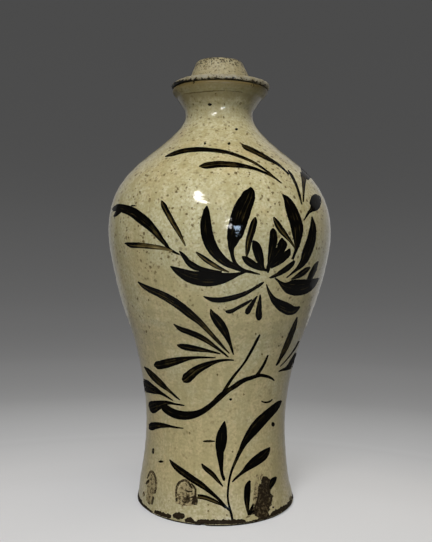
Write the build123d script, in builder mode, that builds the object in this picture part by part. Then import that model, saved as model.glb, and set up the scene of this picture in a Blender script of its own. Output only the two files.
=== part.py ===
"""Lidded meiping vase in thrown stoneware, as separate pieces.

The vase is thrown in three sections that are luted edge to edge: a lower body with
the floor and the foot, an upper body with the shoulder, and a neck with the mouth.
A loose lid rests on the rim of the mouth, and its collar hangs inside the mouth.
Millimetres, +Z up, origin on the table at the centre of the foot.
"""

import os
from math import cos, radians, sin

from build123d import *

# Outside of the vase, from the table up: each turning point of the profile has
# its radius, and its rise above the turning point below it
foot_radius = 57.5
foot_lean = 12.5  # degrees that the wall leans in as it leaves the foot
waist_radius = 50.9
waist_rise = 64.0
flank_radius = 64.0
flank_rise = 64.0
belly_radius = 80.6
belly_rise = 67.0
shoulder_radius = 72.5
shoulder_rise = 33.0
slope_radius = 53.3
slope_rise = 20.0
root_radius = 32.7
root_rise = 18.0
throat_radius = 24.4
throat_rise = 15.0
lip_radius = 29.3
lip_rise = 12.5
rim_radius = 34.2
rim_rise = 6.5

# Walls and foot of the vase
wall = 6.5
foot_wall = 11.0
throat_wall = 5.0
rim_land = 6.0  # width of the flat rim that carries the lid
rim_arris = 0.8
floor = 8.0
floor_corner = 8.0
foot_recess = 4.0
foot_ring = 10.0  # width of the ring that stands on the table
foot_arris = 1.5

# Lid
brim_overhang = 1.3
brim_edge = 3.4
brim_rise = 1.2
brim_arris = 0.8
crown_radius = 23.0
crown_height = 15.0
crown_top_radius = 16.4
crown_round = 3.5
crown_root_round = 1.5
lid_wall = 4.0
collar_depth = 6.0
collar_wall = 3.5
collar_clearance = 0.8

# Heights and radii that follow from the sizes above
waist_height = waist_rise
flank_height = waist_height + flank_rise
belly_height = flank_height + belly_rise
shoulder_height = belly_height + shoulder_rise
slope_height = shoulder_height + slope_rise
root_height = slope_height + root_rise
throat_height = root_height + throat_rise
lip_height = throat_height + lip_rise
rim_height = lip_height + rim_rise
floor_height = foot_recess + floor
throat_bore = throat_radius - throat_wall
mouth_bore = rim_radius - rim_land
brim_radius = rim_radius + brim_overhang
brim_height = rim_height + brim_edge
crown_foot_height = brim_height + brim_rise
lid_height = crown_foot_height + crown_height

# The inside of the mouth is a straight funnel, so its bore narrows evenly with depth
funnel_taper = (mouth_bore - throat_bore) / (rim_height - throat_height)
collar_radius = mouth_bore - funnel_taper * collar_depth - collar_clearance
collar_bore = collar_radius - collar_wall
crown_bore = crown_radius - lid_wall
crown_top_bore = crown_top_radius - lid_wall

# Turning points of the outside profile, as radius and height
foot = Vector(foot_radius, foot_arris)
waist = Vector(waist_radius, waist_height)
flank = Vector(flank_radius, flank_height)
belly = Vector(belly_radius, belly_height)
shoulder = Vector(shoulder_radius, shoulder_height)
slope = Vector(slope_radius, slope_height)
root = Vector(root_radius, root_height)
throat = Vector(throat_radius, throat_height)
lip = Vector(lip_radius, lip_height)
upright = Vector(0, 1)
even_pull = (1, 1)  # the two ends of a profile bend it no harder than its points do

with BuildLine() as outside:
    foot_tangent = Vector(-sin(radians(foot_lean)), cos(radians(foot_lean)))
    Spline(
        [foot, waist, flank, belly, shoulder, slope, root, throat],
        tangents=[foot_tangent, upright],
        tangent_scalars=even_pull,
    )


def inward(point):
    """The point on the inner face that lies square through the wall from an outside point."""
    outer_edge = outside.edge()
    tangent = outer_edge.tangent_at(outer_edge.param_at_point(point))
    return point + Vector(-tangent.Y, tangent.X) * wall


floor_edge = Vector(foot_radius - foot_wall, floor_height + floor_corner)
flank_inside = inward(flank)
root_inside = inward(root)
throat_inside = Vector(throat_bore, throat_height)

with BuildLine() as inside:
    Spline(
        [
            floor_edge,
            inward(waist),
            flank_inside,
            inward(belly),
            inward(shoulder),
            inward(slope),
            root_inside,
            throat_inside,
        ],
        tangents=[upright, upright],
        tangent_scalars=even_pull,
    )

# Lower body: foot ring, recessed base, floor and the wall up to the flank seam
with BuildPart() as lower_body:
    with BuildSketch(Plane.XZ):
        with BuildLine():
            ring_bore = foot_radius - foot_arris - foot_ring
            floor_start = Vector(floor_edge.X - floor_corner, floor_height)
            add(outside.edge().trim(foot, flank))
            Line(flank, flank_inside)
            add(inside.edge().trim(floor_edge, flank_inside))
            TangentArc(floor_start, floor_edge, tangent=(1, 0))
            Polyline(
                floor_start,
                (0, floor_height),
                (0, foot_recess),
                (ring_bore - foot_recess, foot_recess),
                (ring_bore, 0),
                (foot_radius - foot_arris, 0),
                foot,
            )
        make_face()
    revolve(axis=Axis.Z)
lower_body.part.label = "lower_body"

# Upper body: belly and shoulder, between the flank seam and the seam at the neck's root
with BuildPart() as upper_body:
    with BuildSketch(Plane.XZ):
        with BuildLine():
            add(outside.edge().trim(flank, root))
            Line(root, root_inside)
            add(inside.edge().trim(flank_inside, root_inside))
            Line(flank_inside, flank)
        make_face()
    revolve(axis=Axis.Z)
upper_body.part.label = "upper_body"

# Neck: root, throat and the flaring mouth, with a flat rim that carries the lid
with BuildPart() as neck:
    with BuildSketch(Plane.XZ):
        with BuildLine():
            add(outside.edge().trim(root, throat))
            TangentArc(throat, lip, tangent=upright)
            Polyline(
                lip,
                (rim_radius, rim_height - rim_arris),
                (rim_radius - rim_arris, rim_height),
                (mouth_bore, rim_height),
                throat_inside,
            )
            add(inside.edge().trim(root_inside, throat_inside))
            Line(root_inside, root)
        make_face()
    revolve(axis=Axis.Z)
neck.part.label = "neck"

# Lid: a brim that lies on the rim, a hollow crown to lift it by and a collar below
with BuildPart() as lid:
    with BuildSketch(Plane.XZ) as lid_section:
        crown_corner = (crown_top_radius, lid_height)
        crown_foot = (crown_radius, crown_foot_height)
        brim_top = (brim_radius, brim_height)
        brim_bottom = (brim_radius, rim_height)
        with BuildLine():
            Polyline(
                (0, lid_height),
                crown_corner,
                crown_foot,
                brim_top,
                brim_bottom,
                (collar_radius, rim_height),
                (collar_radius, rim_height - collar_depth),
                (collar_bore, rim_height - collar_depth),
                (collar_bore, rim_height),
                (crown_bore, rim_height),
                (crown_top_bore, lid_height - lid_wall),
                (0, lid_height - lid_wall),
                close=True,
            )
        make_face()
        for corner, rounding in (
            (crown_corner, crown_round),
            (crown_foot, crown_root_round),
            (brim_top, brim_arris),
            (brim_bottom, brim_arris),
        ):
            fillet(lid_section.vertices().sort_by_distance(corner)[0], radius=rounding)
    revolve(axis=Axis.Z)
lid.part.label = "lid"

os.makedirs("parts", exist_ok=True)
for piece in (lower_body, upper_body, neck, lid):
    export_step(piece.part, f"parts/{piece.part.label}.step")
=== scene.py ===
"""Looks of a lidded meiping vase in celadon-glazed stoneware, painted in iron-brown brushwork.

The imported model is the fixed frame. The glazed vase and its lid are spun from the frame's own
sections and given the unevenness of thrown clay. The painting, the marks left at the foot and
the iron flecks are thin coats laid on the glaze. Metres, +Z up, the photograph's side faces -Y.
"""

from math import pi, radians

import bmesh
import bpy
import numpy as np
from bpy.props import FloatProperty, FloatVectorProperty, IntProperty, PointerProperty
from mathutils import Matrix, Vector


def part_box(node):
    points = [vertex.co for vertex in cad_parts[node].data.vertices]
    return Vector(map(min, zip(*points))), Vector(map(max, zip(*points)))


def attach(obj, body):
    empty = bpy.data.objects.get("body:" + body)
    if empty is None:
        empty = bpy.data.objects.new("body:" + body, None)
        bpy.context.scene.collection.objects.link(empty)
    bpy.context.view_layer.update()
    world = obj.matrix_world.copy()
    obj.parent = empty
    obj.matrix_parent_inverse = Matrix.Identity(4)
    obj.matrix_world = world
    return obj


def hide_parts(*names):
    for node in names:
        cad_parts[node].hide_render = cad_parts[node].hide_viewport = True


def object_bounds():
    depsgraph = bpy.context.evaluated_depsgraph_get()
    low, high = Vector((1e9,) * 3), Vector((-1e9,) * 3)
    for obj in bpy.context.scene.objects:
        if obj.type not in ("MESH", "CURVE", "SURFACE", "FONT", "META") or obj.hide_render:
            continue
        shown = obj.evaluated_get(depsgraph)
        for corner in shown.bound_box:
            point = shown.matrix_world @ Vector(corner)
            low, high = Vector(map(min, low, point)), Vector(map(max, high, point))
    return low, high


bl_info = {
    "name": "Meiping Vase Maker",
    "version": (1, 0, 0),
    "blender": (4, 5, 0),
    "location": "View3D > Sidebar > Meiping",
    "description": "Dresses the packed meiping vase: glaze, brush painting, foot marks, lid and stage",
    "category": "Object",
}

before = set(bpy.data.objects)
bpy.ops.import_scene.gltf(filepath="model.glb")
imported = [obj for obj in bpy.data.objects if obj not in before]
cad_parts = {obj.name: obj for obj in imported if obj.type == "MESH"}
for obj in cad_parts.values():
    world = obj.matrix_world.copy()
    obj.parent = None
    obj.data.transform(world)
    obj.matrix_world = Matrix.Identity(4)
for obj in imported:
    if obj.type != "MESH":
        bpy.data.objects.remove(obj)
cad_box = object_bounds()

MM = 0.001
MERGE = 1e-5
VASE_NODES = ("lower_body", "upper_body", "neck")

# The photograph's frame in pixels, and the longer side of the camera's frame in mm
PHOTO_WIDTH = 432
PHOTO_HEIGHT = 542
SENSOR = 36.0

# How thickly a brush stroke or a scorch lies: below 0 what is under it shows through, 1 is nearly black
WASH = -0.5
BARE = 0.0
THIN = 0.1
BROWN = 0.3
SEPIA = 0.45
UMBER = 0.66
FULL = 0.85
DARK = 1.0

# Brush strokes as they show in the photograph. Each is its thickness of colour at the start and
# at the end, then points of column, row and full width, in pixels of the 432 by 542 frame.
SHOULDER_LEAVES = {
    "long_leaf": (FULL, FULL, (
        (165, 156.7, 0.6), (172, 154.3, 3.4), (180, 151.7, 4.2), (190, 149.9, 4.2), (200, 149.4, 4.2),
        (210, 149.9, 3.6), (220, 151, 3.4), (230, 153, 2.8), (240, 156.5, 2.6), (250, 160.5, 2.2),
        (260, 166.2, 1.8), (267, 171.2, 1.5), (274, 177, 1.2), (281, 182.8, 0.8),
    )),
    "broad_leaf": (FULL, UMBER, (
        (199, 166.3, 0.6), (205, 165.7, 5.4), (210, 165.1, 6), (217, 164.2, 6), (225, 164.2, 5.5),
        (235, 164.8, 5), (245, 166.3, 3.6), (255, 168.8, 2.5), (265, 172.8, 1.9), (273, 176.8, 1.5),
        (281.5, 183, 0.8),
    )),
    "high_leaf": (UMBER, FULL, (
        (241.5, 144, 0.6), (245, 146.9, 3.9), (250, 149.2, 4.6), (257, 152.7, 4.3), (265, 157, 4),
        (272, 160.8, 3), (278, 164.4, 2.2), (284, 169.4, 1.5), (289, 174.6, 1),
    )),
    "short_blade": (DARK, FULL, (
        (288, 170, 0.6), (291, 174.5, 2), (294, 180, 2.2), (297, 187, 1.9), (299.3, 194.5, 1.8),
        (301.8, 204.5, 0.8),
    )),
    "edge_blade": (FULL, BROWN, (
        (304.5, 172, 8), (304, 178, 5), (303.8, 184, 3.2), (303.6, 192, 1.8), (303.3, 202, 0.8),
    )),
    "bud": (DARK, DARK, (
        (315.5, 194, 1), (315.5, 195.5, 6), (315.8, 199, 9.5), (315.3, 203.5, 10.5), (314, 207.5, 8),
        (311.5, 210, 4), (309, 212.2, 2.4), (306.5, 216, 1.6), (304.2, 220, 0.6),
    )),
}

LEFT_SPRIG = {
    "broad_leaf": (DARK, FULL, (
        (112.3, 210.3, 2.5), (118, 207.8, 6.5), (124.8, 209, 8), (132.9, 212.4, 9), (140.2, 217.7, 9.6),
        (146.8, 223, 9.2), (152.7, 228.9, 7.4), (157.2, 234, 6), (161.3, 239.3, 4.6), (166, 244.6, 3.3),
        (168.5, 248.3, 2.5), (172, 250.8, 2.2), (176, 253, 1.8), (179.7, 254.6, 0.8),
    )),
    "leaf_fork": (DARK, DARK, ((120, 210.5, 4), (116.5, 213.8, 3.5), (114, 217, 1.5))),
    "leaf_whisker": (DARK, DARK, ((131, 205.8, 0.8), (133, 205.6, 1.1), (135.5, 205.8, 0.6))),
    "brown_leaf": (UMBER, BROWN, (
        (161.3, 200.5, 0.8), (163, 204, 4.2), (166.5, 211, 5), (170, 217.5, 4.8), (174, 224.5, 4.4),
        (178.5, 232, 3.6), (182, 239, 2.4), (185.5, 246, 0.8),
    )),
    "low_leaf": (DARK, WASH, (
        (124.5, 243.3, 0.6), (127, 243.8, 2.5), (131, 245, 4.6), (138, 245.2, 5), (146, 245.9, 4.8),
        (154, 246.9, 4.2), (162, 248, 3.5), (168, 249.5, 2.5), (173, 251.2, 1.6),
    )),
}

FLOWER = {
    "left_petal": (DARK, DARK, (
        (206.7, 205.8, 0.8), (206.4, 210, 5), (206.2, 215, 7.2), (205.8, 220, 9.4), (206.2, 228.5, 10.8),
        (208, 237.7, 11.2), (211.8, 247, 10.6), (218.5, 256, 9), (226.5, 262.8, 7), (235, 267, 5),
        (243, 270.5, 3), (250, 271.8, 2.4), (255, 273.2, 1.6), (260, 274.3, 0.8),
    )),
    "tall_petal": (DARK, DARK, (
        (250.8, 187, 1), (250.3, 191, 8.5), (248.9, 194.7, 12.2), (246.8, 200.3, 14.3),
        (243.8, 205.9, 16), (241.7, 211.5, 17), (239.8, 217.1, 17), (238.2, 222.7, 16.5),
        (236.4, 228.3, 16), (234.9, 233.9, 15), (233.5, 237.7, 12.4), (232.6, 242.3, 9.6),
        (231.5, 247, 6.3), (231.9, 252.6, 3.7), (233.1, 258.2, 3.1), (235.6, 263.8, 3),
        (241, 268.5, 2.6), (248, 271.5, 2),
    )),
    "brown_petal": (UMBER, UMBER, (
        (255.3, 217, 1), (254.6, 220.9, 5), (252.9, 226.5, 6.3), (251.4, 232.1, 6.5), (249.7, 237.7, 5.8),
        (248.4, 243.3, 5.3), (247.7, 248.9, 4.2), (246.9, 254.5, 2.4), (246.5, 257.5, 1),
    )),
    "inner_petal": (DARK, DARK, (
        (252.5, 240.5, 1), (255.1, 244.2, 6.7), (257.3, 249.8, 8.5), (258.9, 255.4, 8.2),
        (260.2, 260.1, 7), (261.5, 265.7, 5), (264, 270, 2.5),
    )),
    "low_petal": (DARK, DARK, (
        (242, 256.5, 1), (244.5, 258.3, 4.5), (248.5, 261.5, 6.8), (253, 264.5, 6.5), (258, 267.3, 5),
        (263, 269.3, 3), (267, 270.5, 2),
    )),
    "centre_petal": (DARK, DARK, (
        (273, 228, 1), (273, 230.2, 4.5), (273.5, 235.8, 7), (273.3, 241.4, 7.5), (272.3, 247, 7),
        (271.5, 252.6, 6.2), (270.2, 258.2, 4.6), (269.2, 263.8, 3), (268.1, 269.4, 3.2), (268, 273, 1),
    )),
    "right_petal": (DARK, DARK, (
        (282.3, 237.7, 1), (282, 240.5, 5), (282.3, 244.2, 9), (281.3, 247.9, 8), (278, 253, 8),
        (274.5, 258, 6.5), (271.5, 263, 4), (269.5, 268, 2),
    )),
    "right_sepal": (DARK, DARK, (
        (289.8, 248.5, 1), (288, 252.6, 5.5), (283.5, 257.5, 6.5), (278.5, 261.5, 6), (274, 264.8, 4.5),
        (270.5, 267.5, 2.5),
    )),
    "brown_stamen": (UMBER, UMBER, (
        (273.6, 217, 0.8), (275.7, 220.9, 4), (278.3, 225.5, 5.5), (282, 231, 5.5), (286, 235.8, 4.2),
        (290, 240.5, 2.6), (293, 245, 1.6), (295.5, 249, 1),
    )),
    "outer_petal": (DARK, DARK, (
        (282.4, 194.3, 0.8), (286.2, 198.5, 5), (289.1, 204.1, 8.6), (291.4, 209.7, 10.5),
        (293.5, 215.3, 11.3), (295.4, 220.9, 11.4), (296.9, 226.5, 11.6), (297.4, 232.1, 10.7),
        (297.4, 237.7, 8), (297.2, 243.3, 5.6), (296.3, 248.9, 3), (294.5, 254, 2.2), (292.5, 259.5, 2),
    )),
    "edge_petal": (DARK, DARK, (
        (312, 216.5, 0.8), (312.5, 220.9, 3), (313, 226.5, 5.4), (312.5, 232.1, 7), (311.7, 237.7, 7.9),
        (310.3, 243.3, 8.7), (308.3, 248.9, 8.9), (306.2, 254.5, 8.6), (304.2, 260.1, 7),
        (301.2, 264.8, 5), (296.7, 269.3, 2.8), (292, 273.3, 1.6), (286.5, 277.8, 0.8),
    )),
    "right_stem": (DARK, DARK, (
        (294.5, 260.5, 1.6), (292, 264, 4), (287.5, 268, 5), (282.5, 271.5, 4.6), (277, 274.8, 3.2),
        (272, 277, 2), (269.5, 278, 1),
    )),
    "brown_leaf": (UMBER, BROWN, (
        (195.8, 252, 1), (203, 257.5, 4), (210, 262.5, 4.2), (218, 267.3, 3.5), (225, 270.5, 2),
        (229, 272, 0.8),
    )),
    "broad_leaf": (DARK, DARK, (
        (170.3, 266.3, 0.6), (175, 269.2, 4.6), (180, 272.1, 7.6), (185, 274.6, 10), (190, 276.7, 11.4),
        (200, 278.6, 13.2), (207, 279.2, 13.4), (215, 279, 12.5), (222, 278.2, 10.4), (230, 276.6, 6.8),
        (238, 274.2, 3.2), (244.5, 272.3, 1.7), (250, 271, 1),
    )),
    "curled_leaf": (DARK, DARK, (
        (179.3, 251, 0.6), (182, 254, 3), (185, 257.7, 4.2), (188.2, 262, 5), (193, 265.8, 6),
        (199, 268.5, 4.8), (206, 270, 3.5), (213, 271, 2.2), (222, 271.8, 1),
    )),
    "under_leaf": (DARK, DARK, (
        (264, 282, 0.8), (260, 284.8, 2.6), (255, 288, 2.6), (250, 291, 3), (245, 293.5, 3.8),
        (240, 295.5, 4.2), (230, 298.4, 4.9), (220, 300, 4.9), (212, 299.5, 4), (207, 298, 2.4),
        (203.5, 296.3, 0.6),
    )),
    "under_blade": (DARK, DARK, (
        (252, 299.5, 0.8), (249, 301.6, 2), (245, 304, 2.8), (240, 306.6, 3), (235, 309.4, 3),
        (230, 311.6, 3.6), (227, 311.5, 2.6), (225.3, 310.8, 0.6),
    )),
    "drop_blade": (DARK, DARK, (
        (257.3, 296, 0.8), (254.5, 300, 2.4), (251.5, 305, 3.8), (249, 309, 4.6), (247, 312.5, 4.2),
        (246, 314, 2),
    )),
    "drop_leaf": (DARK, DARK, (
        (260.2, 294.5, 0.8), (259.9, 300, 2.6), (259.3, 306, 4.2), (258.8, 311, 5.4), (258.9, 315.5, 6),
        (258.7, 319, 4), (258.6, 320.5, 1.5),
    )),
    "hook_leaf": (DARK, DARK, (
        (266.4, 284.3, 0.6), (268.3, 290, 2), (271, 295.5, 3.4), (274.5, 300.5, 6.2), (279, 304.2, 9),
        (284, 307.2, 10.6), (289, 309.4, 10.6), (293.5, 309.8, 8), (297.5, 308.2, 3.6), (300, 306.6, 0.8),
    )),
    "side_leaf": (DARK, DARK, (
        (275, 278, 1), (279.5, 282, 2.6), (283.5, 285.4, 6), (288, 287.3, 11.5), (294, 287.7, 14.6),
        (300, 287.4, 14.8), (306, 286, 13), (311, 283.8, 9.6), (315.5, 280.8, 4.8), (318.7, 278.2, 1),
    )),
    "edge_blade": (DARK, FULL, (
        (310.3, 267, 0.8), (307, 269.3, 4), (302.5, 273, 5), (298, 276, 4.2), (294, 278.2, 2.2),
        (291, 279.4, 1),
    )),
    "edge_link": (FULL, DARK, (
        (318.3, 261.3, 0.6), (316, 265, 3.2), (313.8, 270, 4.6), (311.3, 275, 4.8), (309, 280, 4),
    )),
}

LEAF_FAN = {
    "top_leaf": (FULL, UMBER, (
        (137.7, 281.7, 0.6), (142, 285, 3), (150, 289.6, 5.3), (160, 293.9, 6.5), (170, 299.3, 7.4),
        (180, 306, 7.6), (190, 314, 7.2), (200, 322.3, 5.3), (206, 328.5, 4.3), (213, 336, 3.5),
        (220, 343.5, 2.7), (225, 349, 1.6), (229.5, 353.5, 0.8),
    )),
    "upright_leaf": (FULL, FULL, (
        (210.5, 309, 0.8), (212.5, 314, 5), (216.5, 319.5, 8), (221, 325.5, 8.5), (225, 332, 7),
        (228, 338.5, 4.5), (230.5, 345, 2.6), (232.3, 350.5, 1.8), (233.5, 354.8, 0.8),
    )),
    "second_leaf": (FULL, UMBER, (
        (173.5, 324, 0.6), (180, 328.6, 3.9), (190, 332.5, 5), (200, 336.8, 5), (208, 341.5, 4.2),
        (214, 345.9, 3), (220, 350.3, 2.2), (225, 354.3, 1.6), (228.5, 357.3, 0.8),
    )),
    "third_leaf": (FULL, FULL, (
        (177, 345.2, 1), (180, 345.8, 3.6), (185, 347, 5.5), (190, 347.9, 5.8), (200, 349.5, 4.4),
        (208, 350.9, 2.6), (214, 352.3, 1.8), (220.5, 353.8, 0.8),
    )),
    "low_leaf": (FULL, UMBER, (
        (154, 365.5, 1.5), (156, 365, 6), (160, 365.1, 7.7), (165, 363.8, 8.3), (172, 362.1, 7.6),
        (180, 360.2, 6), (190, 358.2, 3.2), (200, 357.4, 1.9), (208, 357.5, 1.3), (215.5, 357.7, 0.6),
    )),
    "brown_leaf": (UMBER, FULL, (
        (182.5, 381, 3), (185.5, 379.2, 8.5), (190, 375.4, 9.2), (195.5, 370.8, 8), (201, 367.6, 7),
        (207, 364.9, 5.6), (213, 362.6, 3.8), (219, 360.9, 2.6), (226, 360, 1.8), (234, 360.2, 0.7),
    )),
}

LOW_LEFT_FAN = {
    "brown_leaf": (FULL, UMBER, (
        (144.2, 366.8, 0.6), (147.5, 370, 3.2), (152, 375, 5.2), (157, 380, 5.6), (162, 384.6, 5),
        (167, 389, 3), (172, 393.2, 2), (176, 396.8, 1.6), (180, 400, 0.7),
    )),
    "edge_leaf": (FULL, DARK, (
        (141, 384.4, 11.5), (145.5, 386.2, 11.5), (150, 388.3, 9), (155, 390.4, 6.6), (160, 392.7, 3.4),
        (165, 395.4, 2), (169, 398.1, 1.4), (173, 400.5, 0.6),
    )),
    "short_leaf": (UMBER, DARK, (
        (149.2, 408.4, 5), (150.4, 408, 9.6), (152.6, 407.2, 11.6), (156, 406, 10.2), (160, 404.6, 7.8),
        (165, 403, 4.5), (170, 403, 2.6), (175, 404.1, 1.6), (180, 404.8, 1.4), (184.5, 405.6, 0.7),
    )),
    "lower_leaf": (FULL, FULL, (
        (148.7, 426.5, 4), (151, 426.5, 7), (155, 425.7, 6.4), (160, 425.3, 5), (165, 425.6, 3.6),
        (170, 426.3, 2.2), (176, 427.4, 1.5), (183.5, 428.3, 0.6),
    )),
}

BRANCH = {
    "main_branch": (DARK, DARK, (
        (161.5, 404.5, 2.5), (164.5, 407.5, 6.5), (170, 411.5, 7.6), (175, 413.8, 8), (180, 415.1, 8.1),
        (190, 415.3, 7.4), (200, 412.5, 5.6), (207, 408.3, 5), (214, 402.6, 4.6), (220, 396.8, 5.2),
        (225, 392.6, 4.6), (230, 389.2, 3.8), (235, 386, 4.4), (240, 382.5, 4.3), (245, 379.8, 3.8),
        (250, 378.2, 3.4), (255, 376.5, 3.3), (260, 375.3, 3), (265, 375.9, 2.6), (270, 377.5, 2.2),
        (272.5, 379, 1.6), (274.3, 380.7, 0.8),
    )),
    "right_twig": (DARK, DARK, (
        (256.5, 375.5, 2.5), (259.5, 371.5, 2.4), (263, 366, 2.2), (266, 360, 1.9), (268, 355, 1),
    )),
    "long_twig": (DARK, DARK, (
        (222.5, 394, 3), (227, 386.2, 2.6), (231, 380, 2.4), (236, 373.3, 2), (240, 368.5, 1.7),
        (245, 361.8, 1.8), (249, 355, 2.1), (254, 346, 2.2), (257, 340, 2.2), (260, 334.5, 1),
    )),
    "comma": (DARK, DARK, (
        (261.3, 401, 0.6), (264, 402.2, 1.2), (267, 402.3, 1.4), (270, 401.3, 1.2), (272.5, 399.3, 0.6),
    )),
}

RIGHT_SPRIG = {
    "brown_leaf": (UMBER, UMBER, (
        (297.2, 316.8, 0.6), (296, 321, 2.4), (294, 327, 4), (291, 334.5, 4.8), (287.7, 343, 5),
        (284, 351, 4.2), (280.5, 358, 2.6), (277.5, 363.5, 1.8), (276, 365.5, 1),
    )),
    "thin_blade": (UMBER, UMBER, (
        (299, 341, 1.2), (295, 348.5, 1.1), (290, 355.5, 0.9), (285, 361.5, 0.7), (280, 366.5, 0.4),
    )),
    "edge_leaf": (FULL, DARK, (
        (296.5, 353, 2.5), (293.5, 360, 5), (290, 366, 5), (286, 368.8, 3), (282, 370, 1.6),
        (278.5, 371.5, 0.7),
    )),
}

FOOT_SPRAY = {
    "stem_leaf": (DARK, DARK, (
        (281.5, 400.6, 0.8), (279, 403, 4.2), (275.5, 407, 6.6), (271, 411.5, 8), (266, 416.2, 9),
        (261, 421.2, 9.8), (256, 426.8, 9.8), (251.5, 432.5, 8.8), (247.5, 438, 7), (244, 443.5, 5.2),
        (241, 449.5, 3.8), (238, 455.8, 3), (235, 462.7, 2.4), (232.3, 469, 2), (230.3, 475.5, 1.8),
        (228.8, 483, 1.7), (228, 490, 1.6), (227.8, 497, 1.6), (228.5, 503, 1.6), (230, 509.5, 2),
        (231.5, 515, 2), (232.5, 520, 1.8),
    )),
    "tall_leaf": (DARK, DARK, (
        (224.7, 421, 0.8), (223.7, 426.7, 5.3), (222.3, 433.3, 9), (221.4, 440, 10.4), (220.6, 446.7, 9.4),
        (220.1, 452.7, 6.8), (220.5, 458.3, 5.6), (221, 464, 4.2), (221.4, 469.7, 3), (222.5, 475.3, 2.6),
        (224, 479.5, 2.2), (224.3, 480.8, 1),
    )),
    "long_leaf": (FULL, FULL, (
        (169.5, 459.5, 0.6), (173.5, 464.5, 3.8), (179, 469.5, 5.6), (186, 474.5, 6), (193, 479.5, 6),
        (200, 484, 5.6), (207, 489.2, 4.2), (213, 494.2, 3.2), (219, 499.5, 2.4), (225, 506, 2),
        (229.3, 510.5, 1.2),
    )),
    "short_leaf": (FULL, FULL, (
        (201.5, 463.5, 0.8), (204, 467, 3.2), (208, 470.5, 4.2), (213, 474.7, 4), (217, 479.5, 3),
        (220, 483, 2), (223, 486.5, 0.8),
    )),
    "brown_leaf": (BROWN, DARK, (
        (197.5, 496.3, 4), (204, 497.3, 4.2), (210, 499.3, 4), (216, 502, 3.4), (221, 504.3, 2.2),
        (226, 507.8, 1.8),
    )),
    "right_leaf": (DARK, DARK, (
        (270, 447.3, 0.6), (267.5, 450.5, 5), (263.5, 455, 8.6), (258.5, 459, 9), (253, 463.2, 8),
        (248, 467.2, 6), (244, 471, 3.6), (240, 474.5, 2.2), (235, 479, 1.8), (232.3, 482, 0.8),
    )),
    "upright_leaf": (DARK, DARK, (
        (250.2, 480.6, 1.5), (249, 482.5, 3), (248.2, 485, 4.7), (247.4, 490, 5.9), (247.1, 495, 5.8),
        (247, 500, 5.2), (247.3, 505, 3.8), (247.8, 510, 2.5), (248.7, 514, 2), (248.6, 516, 1),
    )),
    "fork_stem": (DARK, DARK, (
        (249, 515.5, 1.5), (250.6, 511, 2.2), (252.2, 507, 2), (253.6, 503.5, 1),
    )),
    "fork_twig": (DARK, DARK, ((249.5, 514.5, 2), (254, 511, 2), (257, 509.5, 1))),
    "drop": (DARK, DARK, (
        (276.3, 476.8, 1), (274.5, 479, 4), (272.3, 482, 5.5), (270.3, 485.5, 5), (269.5, 489, 3),
    )),
}

# Iron flecks that stand out on the photographed side: column, row, width and height in pixels
IRON_FLECKS = (
    (205, 143.5, 2.2, 1.4), (170, 147.8, 1.6, 1.2), (229, 143.5, 3, 1.6), (146, 175.3, 1.8, 1.4),
    (171.5, 170.5, 1.6, 1.4), (139.9, 192.3, 1.8, 1.6), (133.5, 197, 1.6, 1.4), (156, 192.5, 1.6, 1.4),
    (168, 195.5, 1.6, 1.4), (150, 199, 1.6, 1.4), (192, 208.2, 1.8, 1.6), (168.5, 236.7, 1.8, 1.6),
    (128.5, 237.5, 1.6, 1.4), (143, 237.7, 1.8, 1.4), (249.5, 174.5, 1.8, 1.4), (250, 183.5, 1.6, 1.4),
    (275, 204, 1.6, 1.4), (279.6, 205, 1.6, 1.4), (268, 212, 1.6, 1.4), (137.5, 298.9, 1.8, 1.6),
    (146.4, 331.4, 1.8, 1.6), (176.8, 296.3, 1.6, 1.4), (148.6, 300.2, 1.6, 1.4), (217.4, 374.7, 1.8, 1.6),
    (189.7, 433.4, 1.8, 1.6), (230.6, 399.3, 3, 1.6), (282.4, 336.9, 1.6, 1.6), (262, 354.4, 1.8, 1.4),
    (278.8, 345.8, 1.6, 1.4), (255.7, 334.1, 1.8, 1.6), (243.7, 394.5, 1.6, 1.4), (273, 424.3, 2.2, 4.5),
    (232.6, 451.9, 1.8, 1.4), (208.3, 504.7, 1.6, 1.4), (208.2, 511.1, 1.6, 1.4), (226.9, 515.2, 1.6, 1.4),
    (209, 441.2, 12, 1.4), (153.2, 451, 1.4, 6), (161, 461.5, 5, 1.5),
    (209.7, 104.6, 2.6, 2.8), (223.7, 117.5, 1.8, 1.8), (215.6, 94, 2, 1.6), (224.5, 104.6, 1.4, 1.2),
    (236.5, 129.2, 3, 1.4), (247, 133.7, 1.8, 1.6), (225.7, 128.6, 1.6, 1.4), (229, 126, 1.6, 1.2),
)

# Stains at the mouth, in the same pixels as the strokes
NECK_MARKS = {
    "ring_line": (THIN, THIN, (
        (181.9, 94, 0.3), (190, 93.1, 0.5), (199.5, 92.2, 0.5), (212, 91, 0.5), (223.7, 90.3, 0.6),
        (234, 91, 0.5), (242.7, 92.2, 0.3),
    )),
    "smudge": (THIN, WASH, ((252.6, 83.5, 1.5), (252.8, 85.5, 3), (252.3, 87.5, 1.5))),
    "drip": (FULL, BROWN, ((193.2, 80.2, 2.6), (193.4, 82.2, 1.6), (193.5, 83.5, 0.6))),
    "left_drip": (FULL, BROWN, ((179, 83.6, 2), (179.2, 84.6, 1.6), (179.3, 85.6, 0.8))),
}

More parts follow.
